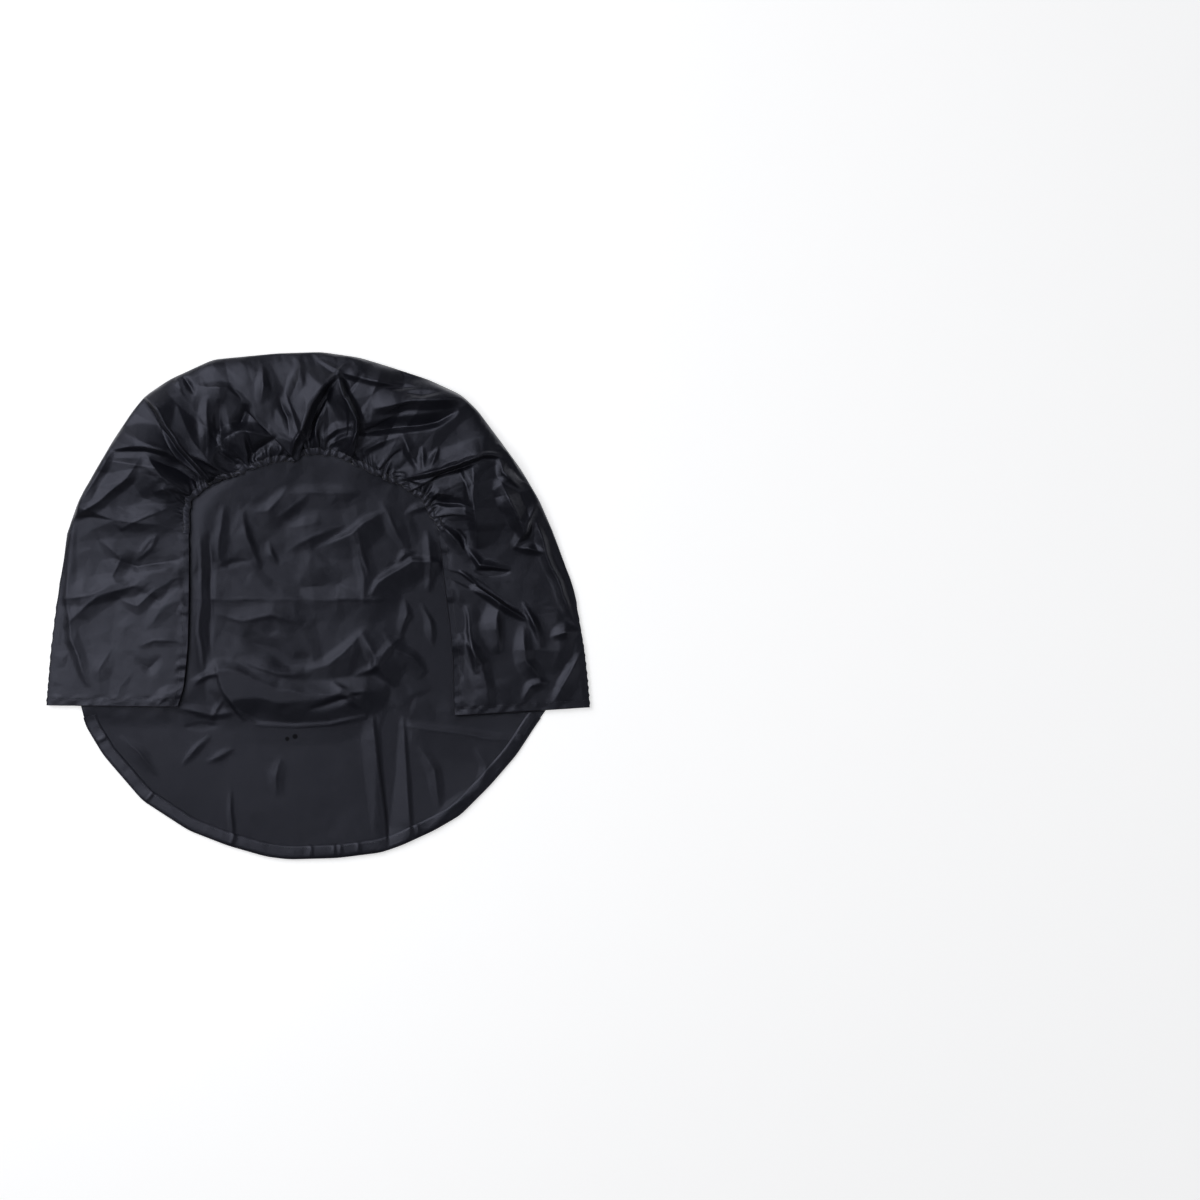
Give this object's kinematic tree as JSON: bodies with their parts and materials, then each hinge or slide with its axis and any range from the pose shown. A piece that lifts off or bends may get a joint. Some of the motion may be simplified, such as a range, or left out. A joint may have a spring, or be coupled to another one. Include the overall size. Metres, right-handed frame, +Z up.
{
  "type": "spare tire cover",
  "caption": "Soft round cover for a spare wheel: face panel, elasticated tread band round the upper rim, hemmed apron below.",
  "frame": {"origin": "middle of the footprint, on the surface that the face panel lies on, face down", "axes": "+Z up out of the open back of the cover; +Y towards the crown of the band; +X across, to the right seen from above"},
  "size_m": [0.7882, 0.74, 0.0328],
  "materials": {
    "taffeta": "satin woven",
    "hem_cloth": "satin woven, doubled",
    "stitching_thread": "matt twisted thread",
    "elastic": "matt covered elastic"
  },
  "bodies": {
    "root": {"face_panel": "taffeta", "crown_band": "taffeta", "rim_seam_allowance": "hem_cloth", "rim_seam_thread": "stitching_thread", "elastic_casing": "hem_cloth", "elastic_band": "elastic", "casing_thread": "stitching_thread", "left_elastic_tack": "stitching_thread", "right_elastic_tack": "stitching_thread", "left_band_wall": "taffeta", "right_band_wall": "taffeta"},
    "apron": {"face_panel_lower": "taffeta", "lower_rim_hem": "hem_cloth", "lower_hem_thread": "stitching_thread"},
    "left_flap": {"left_flap_panel": "taffeta", "left_flap_side_hem": "hem_cloth", "left_flap_bottom_hem": "hem_cloth", "left_side_hem_thread": "stitching_thread", "left_bottom_hem_thread": "stitching_thread"},
    "right_flap": {"right_flap_panel": "taffeta", "right_flap_side_hem": "hem_cloth", "right_flap_bottom_hem": "hem_cloth", "right_side_hem_thread": "stitching_thread", "right_bottom_hem_thread": "stitching_thread"}
  },
  "joints": [
    {"name": "apron_fold", "type": "hinge", "parent": "root", "child": "apron", "pos_m": [0, -0.168, 0.0006], "axis": [-1, 0, 0], "range_deg": [0, 110]},
    {"name": "left_flap_fold", "type": "hinge", "parent": "root", "child": "left_flap", "pos_m": [-0.394, -0.145, 0.0082], "axis": [-0.0995, -0.995, 0], "range_deg": [0, 95]},
    {"name": "right_flap_fold", "type": "hinge", "parent": "root", "child": "right_flap", "pos_m": [0.394, -0.148, 0.0082], "axis": [-0.1466, 0.9892, 0], "range_deg": [0, 95]}
  ]
}
